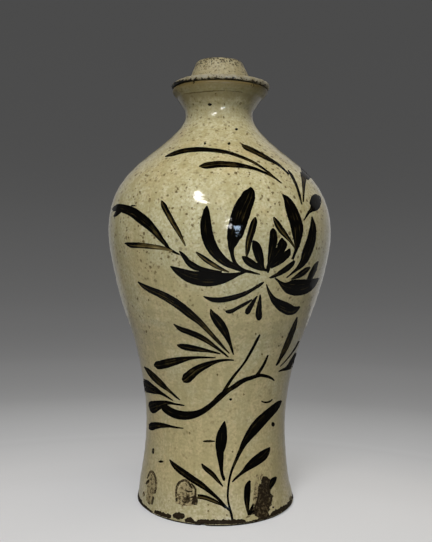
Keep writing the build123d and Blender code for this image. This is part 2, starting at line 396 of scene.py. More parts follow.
# Bare, scorched clay at the foot, in the same pixels as the strokes, with a ragged edge
FINGER_MARKS = {
    "front_ground": (BARE, THIN, (
        (185.5, 482.5, 3), (185.5, 487, 11), (186, 492, 16.5), (186.3, 498, 18.5), (186.5, 503, 18),
        (186.5, 506, 6),
    )),
    "front_outline": (SEPIA, UMBER, (
        (176.3, 502, 1), (176.2, 495, 1.6), (176.6, 488.5, 1.8), (178.6, 483.6, 2), (181.6, 481, 2),
        (184.6, 480.3, 2), (187.7, 482, 2), (190, 485, 1.8), (192.3, 489, 1),
    )),
    "front_arch": (UMBER, UMBER, (
        (190.8, 483.2, 0.8), (193.6, 486.2, 1.5), (195.5, 490, 1.6), (195.3, 495.5, 1.6), (196.8, 499.9, 1.6),
        (196.3, 503.4, 1.8), (193, 504.3, 1),
    )),
    "front_slash": (DARK, DARK, (
        (184.5, 489.9, 0.8), (187.5, 491.2, 2.2), (191, 491.7, 2.2), (193, 491.2, 1),
    )),
    "front_fill": (SEPIA, FULL, (
        (180, 500.8, 2.5), (183.5, 500.6, 5), (187.5, 499.6, 8.6), (191.5, 499.2, 10), (195, 500, 8),
        (196.6, 500.5, 5),
    )),
    "front_corner": (FULL, FULL, ((176.3, 497.2, 0.8), (176.5, 499.5, 1.8), (176.8, 501.6, 0.8))),
    "front_drip": (BROWN, THIN, ((183.5, 503.5, 3), (182.6, 506, 1.8), (182.3, 508.6, 0.8))),
    "side_ground": (THIN, THIN, (
        (151.5, 473.5, 2), (152, 477, 4.5), (151.5, 483, 6), (150.5, 490, 6.5), (150, 497, 5),
        (150.3, 504, 2),
    )),
    "side_outline": (SEPIA, SEPIA, (
        (147.3, 478.5, 0.8), (149.2, 474, 1.6), (151.3, 471.2, 1.8), (153.8, 474, 1.8), (155.6, 479, 1.8),
        (156, 485, 1.8), (155.6, 489.5, 1.6), (154.4, 492.6, 1.6), (151.2, 491, 1),
    )),
    "side_mark": (UMBER, UMBER, ((149.6, 479.3, 1), (148, 481.8, 2.4), (146, 484, 1))),
    "side_tail": (UMBER, FULL, ((153.6, 496.5, 0.8), (152.6, 500.5, 1.6), (151.9, 504.5, 0.8))),
    "side_edge": (BROWN, BROWN, ((143.8, 491.5, 0.8), (143.8, 494, 1.8), (144, 496.3, 0.8))),
    "side_curve": (THIN, BROWN, ((146.5, 496, 0.8), (147.3, 500.5, 1.3), (149.6, 504.5, 0.8))),
}

SCAR = {
    "scar": (FULL, UMBER, (
        (265.2, 476.3, 2.5), (265, 479, 7), (266, 482.5, 9.5), (265.8, 486, 9.8), (263.8, 489, 13),
        (262, 492, 9.5), (263.5, 495, 13.5), (263.8, 499, 15.5), (263.3, 503, 15.2), (261.5, 507, 15),
        (260.3, 511, 14.5), (260.5, 515, 15.5), (259, 518, 11),
    )),
    "scar_fringe": (BARE, THIN, (
        (256, 480.5, 1), (256.3, 486, 3.4), (255.6, 493, 3.6), (255, 500, 3.4), (254.5, 505, 1),
    )),
    "scar_fleck": (THIN, THIN, ((256.6, 474.4, 0.8), (257.8, 477, 2), (258.4, 479, 0.8))),
    "scar_wisp": (THIN, THIN, ((261.9, 473.6, 0.8), (261.3, 477, 1.6), (261, 480, 0.8))),
    "scar_edge": (DARK, DARK, ((271.6, 495.2, 0.8), (271.3, 498.5, 1.8), (270.8, 503.3, 0.8))),
    "scar_crumb": (FULL, FULL, ((272.3, 507.4, 0.8), (273.2, 507.3, 1.4), (274.2, 507.3, 0.6))),
    "root_smear": (BROWN, THIN, ((250, 515.2, 1), (248, 516.7, 1.6), (245.6, 517.9, 0.6))),
}

FOOT_BAND = {
    "left_line": (DARK, DARK, (
        (137.9, 497.5, 1), (139.6, 501, 1.8), (143.8, 505.6, 2), (148.3, 509.5, 2), (152.3, 512.4, 1.6),
    )),
    "left_block": (DARK, DARK, (
        (154.3, 511.5, 3), (157.5, 513, 4.8), (161, 514.9, 5.2), (165, 516.2, 5.2), (169, 516.2, 4),
        (171.3, 516.6, 1.8),
    )),
    "under_line": (DARK, DARK, (
        (164, 518.6, 0.8), (170, 520.3, 1.2), (176, 521.6, 1.2), (182, 522.6, 1.2), (187, 523.3, 1.2),
    )),
    "second_block": (DARK, DARK, (
        (173, 516.6, 2.2), (175.5, 515.8, 5.4), (178.5, 515.8, 6.6), (181.5, 516.2, 5.8), (183.5, 518.4, 2.5),
    )),
    "third_block": (DARK, DARK, (
        (184.8, 521, 4), (187.5, 520.9, 6.2), (190.5, 521.2, 6.4), (193, 522.5, 3.8), (196.5, 523, 3.4),
        (200, 522.2, 4.8), (204, 521.6, 3.6),
    )),
    "front_block": (DARK, DARK, (
        (201, 521.6, 3), (205, 522.6, 5.6), (212, 523, 6), (224, 523.1, 6), (236, 522.8, 6), (243, 522.4, 5),
        (245.6, 523.4, 2.6),
    )),
    "thin_line": (DARK, DARK, (
        (244.5, 523.4, 2.8), (250, 522.8, 2.8), (255, 521.6, 3), (260, 520, 3.6), (266, 518.6, 3.4),
        (271, 516.8, 3),
    )),
    "right_block": (DARK, DARK, (
        (270.5, 516.4, 3), (274, 514.2, 5), (279, 511.6, 5.6), (284, 508.8, 5.2), (287.6, 505.8, 4),
        (290.3, 502.2, 2.6), (291.6, 499.5, 1),
    )),
    "edge_line": (BROWN, BROWN, ((290.7, 495.8, 0.8), (290.4, 498, 1.6), (289.7, 500.3, 0.8))),
}

# Leaves that run on over the edge of the photograph's view, and the bare foot behind:
# degrees round the axis from +X, height and full width in millimetres
OVER_THE_EDGE = {
    "shoulder_leaf": (FULL, DARK, (
        (-31, 234.5, 5), (-22, 238, 7), (-9, 240, 7), (4, 241, 5), (14, 241.5, 0.8),
    )),
    "flank_leaf": (DARK, DARK, (
        (-172, 117, 0.8), (-178, 121, 4), (-186, 126, 6), (-196, 131, 6), (-205, 135, 3), (-212, 138, 0.8),
    )),
    "flank_blade": (DARK, BROWN, (
        (-172, 107, 0.8), (-180, 108, 4), (-190, 110, 5), (-200, 112, 3), (-207, 113, 0.6),
    )),
    "left_leaf": (FULL, DARK, (
        (-166, 83.6, 7), (-172, 84.2, 8), (-180, 86, 8), (-192, 88, 5), (-203, 90, 0.8),
    )),
    "right_leaf": (FULL, DARK, ((-18, 104.5, 4), (-6, 110, 5), (6, 116, 4.5), (16, 121, 2), (22, 124, 0.8))),
}

FOOT_BAND_BEHIND = {
    "right_behind": (DARK, FULL, ((-14, 4, 1.5), (2, 3, 4), (16, 2.6, 4.5), (30, 2.2, 3), (44, 2.6, 4))),
    "far_right": (FULL, DARK, ((47, 3.2, 3), (60, 2.4, 4.5), (78, 2.8, 5), (92, 2.2, 3))),
    "far_left": (DARK, FULL, ((97, 2.6, 3.5), (112, 2.8, 5), (128, 2.2, 3.5), (141, 2.8, 3))),
    "left_behind": (FULL, DARK, ((145, 2.4, 2.5), (158, 3, 4.5), (172, 2.6, 4), (190, 3.4, 3), (204, 4, 1))),
}

# A stroke is a grid: its places across, from edge to edge, and its steps along in pixels or in mm
ACROSS = np.array((-1, -0.95, -0.62, -0.31, 0, 0.31, 0.62, 0.95, 1))
PIXEL_STEP = 0.8
ROUND_STEP = 1.0
# The wet colour spreads a little past the brush: share of its width, and pixels
BLEED = (1.06, 0.45)
NO_BLEED = (1.0, 0.0)
# Least width of a stroke in pixels and in mm, and its least height on the foot in mm
THINNEST_PIXELS = 0.2
THINNEST_ROUND = 0.3
LOWEST_ROUND = 0.3
# A coat is thinner along its edges and at its ends: shares of its lift
EDGE_DROP = 0.65
END_LIFT = 0.35
# Each stroke of a piece lies a little higher than the one before it: share of the lift
LIFT_GROWTH = 0.03
# Steps of a ragged edge in pixels
RAGGED_STEP = 1.4
# An iron fleck is a short stroke: its places along and its shares of the width there. A small one is faint
FLECK_PLACES = (-1, -0.55, 0.55, 1)
FLECK_WIDTHS = (0.3, 1, 1, 0.3)
FAINT_FLECK = 2
# A pixel past the outline comes in, by so much a try, towards this column and the rows of the wall
VASE_MIDDLE = 216.0
WALL_ROWS = (110.0, 485.0)
COME_IN = 0.4
COME_IN_TRIES = 60
# A line of sight is searched over this length before the axis, in steps and then by halving
SEARCH_LENGTH = 0.1
SEARCH_STEPS = 80
SEARCH_HALVINGS = 24

# Shallow dents in the wall: degrees round the axis, height, half width, half height and depth, in mm
DENTS = (
    (-111.1, 18.5, 6.5, 7.5, 0.5),
    (-146.5, 15.5, 4.5, 11.0, 0.4),
    (-53.3, 13.0, 6.0, 12.0, 0.45),
    (-97.9, 0.4, 1.6, 1.4, 1.5),
)

# The edges of a section are softened so many times, except within this height of its lower end
SOFTENINGS = 2
STANDING = 2 * MM

# How near a vertex lies to the round wall to be moved with it
ON_WALL = 0.05 * MM

# Groove turned under the lip: height, half height and depth in mm
LIP_GROOVE = (293.4, 0.7, 0.3)

# How far the thrown axis strays towards +X: height and shift in mm
SWAY = (
    (0, 0.5), (6, 0.2), (16, -0.5), (40, -0.2), (100, -0.15), (135, 0.4), (172, 0.75), (205, 0.5),
    (230, 0.0), (256, -0.8), (276, -0.6), (288, -0.8), (296, -0.5), (300, 0.0),
)

# How much fuller the glazed wall is than the thrown section: height and swelling in mm
SWELL = (
    (0, 0.0), (41, 0.2), (64, 0.1), (115, -0.1), (138, 0.8), (174, -0.35), (200, 0.2), (225, 0.2),
    (247, 0.9), (268, 0.4), (277, 0.1), (283, 0.15), (288, 1.8), (291, 2.2), (295, 2.3), (297.3, 1.8),
    (298.6, 0.9), (299.3, 0.3), (300, 0.0),
)

# The lid's mesh, the chips and waves of its brim and how far in they reach, and its lean
LID_SEGMENTS = 192
LID_ROW_HEIGHT = 0.5 * MM
CHIP_DEPTH = 0.14 * MM
BRIM_WAVE = 0.1 * MM
BRIM_EDGE = 2.5 * MM
CROWN_LEAN = 1.1 * MM
# Its worn side: share of the brim's height that is gone, half width in radians, and how far in it goes
BRIM_WEAR = 0.36
WEAR_HALF_WIDTH = 0.75
WEAR_REACH = 9 * MM
WEAR_FADE = 6 * MM

# Distances of the lamps from the middle of the vase, and the left lamps' share of the right ones' light
FAR = 1.5
NEAR = 0.45
LEFT_SHARE = 0.4
# Colours of the lamps
WHITE = (1.0, 1.0, 1.0)
IVORY = (1.0, 0.965, 0.9)
WARM = (1.0, 0.87, 0.64)
DAYLIGHT = (0.84, 0.945, 1.0)
COOL = (0.6, 0.78, 1.0)

# The paper sweep in metres: radius of the floor, height of the wall and the curve between them
SWEEP_RADIUS = 1.9
SWEEP_HEIGHT = 2.4
SWEEP_CURVE = 0.9
# Its tone by distance, floor and wall together, from a point before the vase: a painted pool of light, pale
# near the vase and dark far from it
PALE_POINT = (-0.025, -0.25, 0.0)
SWEEP_TONES = (
    (0.12, 0.745), (0.2, 0.725), (0.29, 0.71), (0.345, 0.625), (0.405, 0.485), (0.43, 0.443), (0.6, 0.283),
    (0.9, 0.2), (1.5, 0.147), (2.2, 0.1), (3.0, 0.083),
)
PAPER_TINT = (0.98, 1.0, 1.09)


class MeipingForm(bpy.types.PropertyGroup):
    """Sizes of the glazed forms and the coats on them."""

    segments: IntProperty(
        name="Segments", description="Steps in one turn of the vase", default=240, min=24, max=250
    )
    row_height: FloatProperty(
        name="Row height", description="Spacing of the mesh rows on the outside",
        default=1.25 * MM, unit="LENGTH",
    )
    inside_row_height: FloatProperty(
        name="Inside row height", description="Spacing of the mesh rows on the inside",
        default=5 * MM, unit="LENGTH",
    )
    ring_depth: FloatProperty(
        name="Ring depth", description="Height of the throwing rings", default=0.05 * MM, unit="LENGTH"
    )
    lean: FloatProperty(
        name="Unevenness", description="How far the thrown wall strays from round",
        default=0.15 * MM, unit="LENGTH",
    )
    bare_edge: FloatProperty(
        name="Bare edge", description="Height of the bare clay round the standing edge of the foot",
        default=1.2 * MM, unit="LENGTH",
    )
    coat_lift: FloatProperty(
        name="Coat lift", description="How far painted coats stand on the glaze",
        default=0.045 * MM, unit="LENGTH",
    )
    coat_depth: FloatProperty(
        name="Coat depth", description="How deep painted coats reach into the glaze",
        default=0.25 * MM, unit="LENGTH",
    )


class MeipingColours(bpy.types.PropertyGroup):
    """Colours of the fired clay, the glaze and the painting."""

    glaze: FloatVectorProperty(
        name="Glaze", description="Celadon glaze over pale clay", subtype="COLOR",
        size=3, default=(0.575, 0.545, 0.37),
    )
    # Also mixed in below the belly as painted shade on the lower body
    glaze_warm: FloatVectorProperty(
        name="Warm glaze", description="Glaze where the clay blushes through", subtype="COLOR",
        size=3, default=(0.56, 0.46, 0.258),
    )
    # Paler towards the foot: a thinner glaze there, and painted light bounced up from the floor
    glaze_foot: FloatVectorProperty(
        name="Glaze at the foot", description="Thin pale glaze near the foot", subtype="COLOR",
        size=3, default=(0.64, 0.6, 0.44),
    )
    glaze_olive: FloatVectorProperty(
        name="Olive glaze", description="Glaze where it pools thicker", subtype="COLOR",
        size=3, default=(0.375, 0.325, 0.162),
    )
    iron: FloatVectorProperty(
        name="Iron specks", description="Iron specks that bleed through the glaze", subtype="COLOR",
        size=3, default=(0.12, 0.083, 0.030),
    )
    ink: FloatVectorProperty(
        name="Iron brushwork", description="Iron pigment where the brush was full", subtype="COLOR",
        size=3, default=(0.002, 0.0017, 0.0012),
    )
    ink_thin: FloatVectorProperty(
        name="Thin brushwork", description="Iron pigment where the brush ran dry", subtype="COLOR",
        size=3, default=(0.085, 0.062, 0.021),
    )
    ink_wash: FloatVectorProperty(
        name="Washed brushwork", description="Iron pigment where the glaze shows through it", subtype="COLOR",
        size=3, default=(0.24, 0.19, 0.085),
    )
    clay: FloatVectorProperty(
        name="Bare clay", description="Scorched clay where the glaze is missing", subtype="COLOR",
        size=3, default=(0.017, 0.0105, 0.0035),
    )
    clay_pale: FloatVectorProperty(
        name="Pale bare clay", description="Bare clay with a thin film of glaze", subtype="COLOR",
        size=3, default=(0.37, 0.305, 0.168),
    )
    clay_brown: FloatVectorProperty(
        name="Brown bare clay", description="Bare clay, lightly scorched", subtype="COLOR",
        size=3, default=(0.11, 0.08, 0.038),
    )
    # Brown for the stains under the mouth, also used as painted shade there and for the dark line at the
    # crown's foot
    stain: FloatVectorProperty(
        name="Stain", description="Brown stain under the mouth", subtype="COLOR",
        size=3, default=(0.17, 0.135, 0.058),
    )
    lid_wear: FloatVectorProperty(
        name="Worn lid", description="Dull film on the lid's glaze", subtype="COLOR",
        size=3, default=(0.215, 0.183, 0.126),
    )
    brim_pale: FloatVectorProperty(
        name="Pale brim", description="Bare pale clay where the brim is worn", subtype="COLOR",
        size=3, default=(0.33, 0.3, 0.225),
    )


class MeipingStage(bpy.types.PropertyGroup):
    """Camera, lamps and backdrop."""

    camera_place: FloatVectorProperty(
        name="Camera place", description="Where the photograph was taken from",
        subtype="TRANSLATION", size=3, default=(-0.00148, -0.5295, 0.1895),
    )
    camera_pitch: FloatProperty(
        name="Camera pitch", description="Tilt of the camera from straight down",
        subtype="ANGLE", default=radians(87.67),
    )
    camera_roll: FloatProperty(
        name="Camera roll", description="Turn of the camera about its own line of sight",
        subtype="ANGLE", default=radians(0.78),
    )
    lens: FloatProperty(
        name="Lens", description="Focal length on a 36 mm frame", subtype="DISTANCE_CAMERA", default=47.91
    )
    key_level: FloatProperty(
        name="Key lamp", description="Light of the ivory lamp at the left, 1 shows a colour as it is",
        default=0.58,
    )
    gleam_level: FloatProperty(
        name="Key gleam", description="Reflected light of the key lamp's bright face", default=0.85
    )
    upper_level: FloatProperty(
        name="Upper lamp", description="Light of the wide lamp high at the front", default=0.08
    )
    window_level: FloatProperty(
        name="Window lamp", description="Reflected light of the cool panes at the right", default=0.17
    )
    fill_level: FloatProperty(
        name="Fill lamp", description="Light of the lamp at the camera", default=0.26
    )
    side_level: FloatProperty(
        name="Side lamp", description="Light of the wide lamp high at the right", default=0.33
    )
    overhead_level: FloatProperty(
        name="Overhead lamp", description="Light of the wide lamp above", default=0.1
    )
    flank_level: FloatProperty(
        name="Flank lamps", description="Light of the wide lamp low behind at the right, less at the left",
        default=0.025,
    )
    card_level: FloatProperty(
        name="Cards", description="Reflected light of the tall card at the right, less at the left",
        default=0.12,
    )
    spark_level: FloatProperty(
        name="Spark", description="Reflected light of the small lamp at the camera", default=0.26
    )
    world_level: FloatProperty(
        name="Surrounding light", description="Brightness of the light from all round", default=0.006
    )
    floor_shadow: FloatProperty(
        name="Floor shadow", description="Share of the floor's tone that the lamps give, and a shadow takes",
        subtype="FACTOR", default=0.6, min=0.0, max=1.0,
    )
    wall_shadow: FloatProperty(
        name="Wall shadow", description="The same share on the wall and far from the vase",
        subtype="FACTOR", default=0.2, min=0.0, max=1.0,
    )


def smooth_path(points, step):
    """Points at an even step along the smooth curve through the given points."""
    points = np.asarray(points, float)
    chords = np.hypot(*np.diff(points[:, :2], axis=0).T)
    along = np.concatenate(([0.0], np.cumsum(chords)))
    slopes = np.gradient(points, along, axis=0)
    wanted = np.linspace(0.0, along[-1], max(3, round(along[-1] / step) + 1))
    start = np.clip(np.searchsorted(along, wanted, side="right") - 1, 0, len(along) - 2)
    span = (along[start + 1] - along[start])[:, None]
    t = (wanted - along[start])[:, None] / span
    ends = points[start] * (1 + 2 * t) * (1 - t) ** 2 + points[start + 1] * t**2 * (3 - 2 * t)
    return ends + span * t * (1 - t) * (slopes[start] * (1 - t) - slopes[start + 1] * t)


def half_section(node_names):
    """Half section of CAD nodes taken as one body: points of radius and height, from its lower to its
    upper end on the axis."""
    section = bmesh.new()
    for name in node_names:
        section.from_mesh(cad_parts[name].data)
    bmesh.ops.remove_doubles(section, verts=section.verts, dist=MERGE)
    for across, keep_front in (((0, 1, 0), False), ((1, 0, 0), True)):
        bmesh.ops.bisect_plane(
            section, geom=section.verts[:] + section.edges[:] + section.faces[:], dist=MERGE,
            plane_co=(0, 0, 0), plane_no=across, clear_inner=True, clear_outer=not keep_front,
        )
    bmesh.ops.remove_doubles(section, verts=section.verts, dist=MERGE)
    ends = [v for v in section.verts if len(v.link_edges) == 1]
    if len(ends) != 2:
        raise RuntimeError(f"the section of {node_names} has {len(ends)} ends instead of 2")
    line, edge = [min(ends, key=lambda v: v.co.z)], None
    while line[-1] not in ends or len(line) == 1:
        # At a luted seam the line goes straight on
        heading = line[-1].co - line[-2].co if edge else Vector((1, 0, 0))
        ways = [e for e in line[-1].link_edges if e is not edge]
        edge = min(ways, key=lambda e: heading.angle(e.other_vert(line[-1]).co - line[-1].co))
        line.append(edge.other_vert(line[-1]))
    points = np.array([(v.co.x, v.co.z) for v in line])
    section.free()
    return points


VASE_SECTION = half_section(VASE_NODES)


def split_at_corners(line, sharpest=radians(35)):
    """The runs of a section line between its corners."""
    steps = np.diff(line, axis=0)
    headings = np.arctan2(steps[:, 1], steps[:, 0])
    turns = np.abs(wrapped(np.diff(headings)))
    stops = [0, *(np.flatnonzero(turns > sharpest) + 1), len(line) - 1]
    return [line[a:b + 1] for a, b in zip(stops, stops[1:])]


def even_section(line, outside_step, inside_step):
    """The section line with even points, and its edges softened as a glaze softens them. Also the
    number of points up to the rim, which are the outside."""
    rim = line[:, 1].max() - MERGE
    outside, inside, past_rim = [line[:1]], [line[:0]], False
    for run in split_at_corners(line):
        past_rim = past_rim or run[0, 1] > rim
        even = smooth_path(run, inside_step if past_rim else outside_step)[1:]
        (inside if past_rim else outside).append(even)
    outside, inside = np.concatenate(outside), np.concatenate(inside)
    even = np.concatenate((outside, inside))
    standing = even[1:-1, 1:] < even[:, 1].min() + STANDING
    for _ in range(SOFTENINGS):
        even[1:-1] = np.where(standing, even[1:-1], (even[:-2] + 2 * even[1:-1] + even[2:]) / 4)
    return even, len(outside)


def wrapped(angle):
    """An angle brought to within half a turn of zero."""
    return (angle + pi) % (2 * pi) - pi


def eased(height, table):
    """A table's value at a height in mm, eased from point to point."""
    heights, shifts = np.array(table, float).T
    place = np.interp(height, heights, np.arange(len(heights)))
    step = np.clip(np.floor(place), 0, len(heights) - 2).astype(int)
    ease = (place - step) ** 2 * (3 - 2 * (place - step))
    return shifts[step] * (1 - ease) + shifts[step + 1] * ease


def round_axis(reach, angle, height):
    """Points from their distance from the axis, direction and height."""
    return np.stack((reach * np.cos(angle), reach * np.sin(angle), height), axis=-1)


class VaseSurface:
    """Outside of the glazed vase: its radius by direction and height, with the hand's unevenness."""

    def __init__(self, form):
        self.form = form
        self.line, self.outside_count = even_section(VASE_SECTION, form.row_height, form.inside_row_height)
        outside = self.line[:self.outside_count]
        wall = outside[np.argmin(outside[:, 1] - outside[:, 0]):]
        self.heights, self.radii = wall[:, 1], wall[:, 0]

    def relief(self, angle, height):
        """How far the uneven wall stands out from the round one."""
        z = height / MM
        # The rings climb and fade with the hand, and the wall strays two and three times in a turn
        rings = np.sin(z / 1.2 + 0.8 * np.sin(angle + z / 35)) * (1 + 0.5 * np.sin(z / 17))
        stray = np.sin(2 * angle + 0.6 + z / 60) + 0.6 * np.sin(3 * angle - z / 40)
        out = self.form.ring_depth * rings + self.form.lean * stray
        out += (eased(z, SWAY) * np.cos(angle) + eased(z, SWELL)) * MM
        groove, half_groove, groove_depth = LIP_GROOVE
        out -= groove_depth * MM * np.exp(-(((z - groove) / half_groove) ** 2))
        for degrees, middle, half_width, half_height, depth in DENTS:
            across = wrapped(angle - radians(degrees)) * np.interp(height, self.heights, self.radii) / MM
            out -= depth * MM * np.exp(-((across / half_width) ** 4 + ((z - middle) / half_height) ** 4))
        return out

    def radius(self, angle, height):
        """Radius of the glaze at a direction and height."""
        return np.interp(height, self.heights, self.radii) + self.relief(angle, height)

    def place(self, angle, height, lift):
        """Points at a lift above the glaze."""
        return round_axis(self.radius(angle, height) + lift, angle, height)

    def under_pixels(self, columns, rows, stage):
        """Direction and height on the vase under the photograph's pixels, and which pixels miss it."""
        focal = stage.lens / SENSOR * PHOTO_HEIGHT
        turn = Matrix.Rotation(stage.camera_pitch, 3, "X") @ Matrix.Rotation(stage.camera_roll, 3, "Z")
        rays = np.stack((
            (columns - PHOTO_WIDTH / 2) / focal,
            (PHOTO_HEIGHT / 2 - rows) / focal,
            -np.ones_like(columns),
        ), axis=-1) @ np.array(turn).T
        rays /= np.linalg.norm(rays, axis=-1, keepdims=True)
        eye = np.array(stage.camera_place)
        flat = np.linalg.norm(rays[..., :2], axis=-1)
        nearest = -(rays[..., 0] * eye[0] + rays[..., 1] * eye[1]) / flat**2

        def outside_by(reach):
            point = eye + rays * reach[..., None]
            angle = np.arctan2(point[..., 1], point[..., 0])
            gap = np.hypot(point[..., 0], point[..., 1]) - self.radius(angle, point[..., 2])
            inside_ends = (point[..., 2] > 0) & (point[..., 2] < self.heights[-1])
            return np.where(inside_ends, gap, 1.0), angle, point[..., 2]

        far, hit = nearest.copy(), np.zeros(nearest.shape, bool)
        near = nearest - SEARCH_LENGTH
        for step in range(1, SEARCH_STEPS + 1):
            reach = nearest - SEARCH_LENGTH * (1 - step / SEARCH_STEPS)
            entered = (outside_by(reach)[0] <= 0) & ~hit
            far = np.where(entered, reach, far)
            near = np.where(entered, reach - SEARCH_LENGTH / SEARCH_STEPS, near)
            hit |= entered
        for _ in range(SEARCH_HALVINGS):
            middle = (near + far) / 2
            within = outside_by(middle)[0] <= 0
            far = np.where(within, middle, far)
            near = np.where(within, near, middle)
        _, angle, height = outside_by(far)
        return angle, height, ~hit


def spun(name, line, segments):
    """A closed mesh turned from a section line, with smooth faces that point outwards."""
    shape = bmesh.new()
    verts = [shape.verts.new((radius, 0, height)) for radius, height in line]
    edges = [shape.edges.new(pair) for pair in zip(verts, verts[1:])]
    bmesh.ops.spin(
        shape, geom=verts + edges, cent=(0, 0, 0), axis=(0, 0, 1), dvec=(0, 0, 0), angle=2 * pi,
        steps=segments, use_merge=True, use_duplicate=False,
    )
    bmesh.ops.remove_doubles(shape, verts=shape.verts, dist=MERGE / 10)
    bmesh.ops.recalc_face_normals(shape, faces=shape.faces)
    return finished(name, shape)


def finished(name, shape):
    """A new object that takes over a bmesh, smooth shaded, at the origin."""
    for face in shape.faces:
        face.smooth = True
    mesh = bpy.data.meshes.new(name)
    shape.to_mesh(mesh)
    shape.free()
    piece = bpy.data.objects.new(name, mesh)
    bpy.context.scene.collection.objects.link(piece)
    return piece


def move_vertices(piece, change):
    """Moves a piece's vertices by a function from an array of places to an array of places."""
    places = np.empty(len(piece.data.vertices) * 3)
    piece.data.vertices.foreach_get("co", places)
    piece.data.vertices.foreach_set("co", change(places.reshape(-1, 3)).ravel())
    piece.data.update()


def ragged_edge(count, seed, amount):
    """Uneven factors near 1 along the two edges of a coat, the same each run."""
    steps = np.arange(count) * PIXEL_STEP / RAGGED_STEP
    waves = [
        np.sin(steps * pitch + seed * 2.4 + side * 1.9) for side in (0, 1) for pitch in (0.9, 1.7, 2.9)
    ]
    low, high = sum(waves[:3]) / 3, sum(waves[3:]) / 3
    return 1 + amount * np.where(ACROSS < 0, low[:, None], high[:, None])


def ribbon(points, step, thinnest, bleed, ragged, seed):
    """A stroke's grid in the plane of its points, along it and across it: both coordinates."""
    path = smooth_path(points, step)
    heading = np.gradient(path[:, :2], axis=0)
    heading /= np.linalg.norm(heading, axis=1, keepdims=True)
    width = np.maximum(path[:, 2], thinnest) * bleed[0] + bleed[1]
    half = width[:, None] / 2 * ACROSS * ragged_edge(len(path), seed, ragged)
    return path[:, :1] - heading[:, 1:] * half, path[:, 1:2] + heading[:, :1] * half


def stroke_under_pixels(surface, points, stage, ragged, seed):
    """A stroke's grid of directions and heights on the vase."""
    columns, rows = ribbon(points, PIXEL_STEP, THINNEST_PIXELS, BLEED, ragged, seed)
    angle, height, missed = surface.under_pixels(columns, rows, stage)
    for _ in range(COME_IN_TRIES):
        if not missed.any():
            return angle, height
        inward = np.stack((VASE_MIDDLE - columns, np.clip(rows, *WALL_ROWS) - rows))
        inward *= COME_IN * missed / np.linalg.norm(inward, axis=0)
        columns, rows = columns + inward[0], rows + inward[1]
        angle, height, missed = surface.under_pixels(columns, rows, stage)
    raise RuntimeError(f"the stroke from {points[0]} leaves the vase")


def stroke_round_vase(surface, points, ragged, seed):
    """The same grid for a stroke given by degrees round the axis, height and width in millimetres."""
    unrolled = np.array(points, float)
    reach = float(np.interp(unrolled[:, 1].mean() * MM, surface.heights, surface.radii)) / MM
    unrolled[:, 0] = np.radians(unrolled[:, 0]) * reach
    along, height = ribbon(unrolled, ROUND_STEP, THINNEST_ROUND, NO_BLEED, ragged, seed)
    return along / reach, np.maximum(height, LOWEST_ROUND) * MM


def lay_coat(shape, surface, angle, height, tones, lift):
    """Adds one closed brush stroke to a bmesh: a grid laid on the glaze, thinner at its edges."""
    rows, across = angle.shape
    ink = shape.verts.layers.float.get("ink") or shape.verts.layers.float.new("ink")
    run = shape.verts.layers.float_vector.get("run") or shape.verts.layers.float_vector.new("run")
    made = bmesh.ops.create_grid(shape, x_segments=rows - 1, y_segments=across - 1, size=1)["verts"]
    crown = lift * (1 - EDGE_DROP * ACROSS**4) * np.ones((rows, 1))
    crown[[0, -1]] = END_LIFT * lift
    places = surface.place(angle, height, crown)
    lengths = np.linalg.norm(np.diff(places[:, across // 2], axis=0), axis=1)
    along = np.concatenate(([0.0], np.cumsum(lengths)))
    widths = np.linalg.norm(places[:, -1] - places[:, 0], axis=1)
    for vert in made:
        i = round((vert.co.x + 1) / 2 * (rows - 1))
        j = round((vert.co.y + 1) / 2 * (across - 1))
        vert.co = places[i, j]
        vert[ink] = tones[0] + (tones[1] - tones[0]) * along[i] / along[-1]
        vert[run] = (along[i], ACROSS[j] * widths[i] / 2, ACROSS[j])
    faces = list(dict.fromkeys(face for vert in made for face in vert.link_faces))
    outward = 0.0
    for face in faces:
        face.normal_update()
        outward += face.calc_area() * face.normal.xy.dot(face.calc_center_median().xy)
    if outward < 0:
        bmesh.ops.reverse_faces(shape, faces=faces)


def close_coat(piece, depth):
    """Gives a coat its thickness, into the glaze."""
    wall = piece.modifiers.new("coat thickness", "SOLIDIFY")
    wall.thickness = depth
    wall.offset = -1


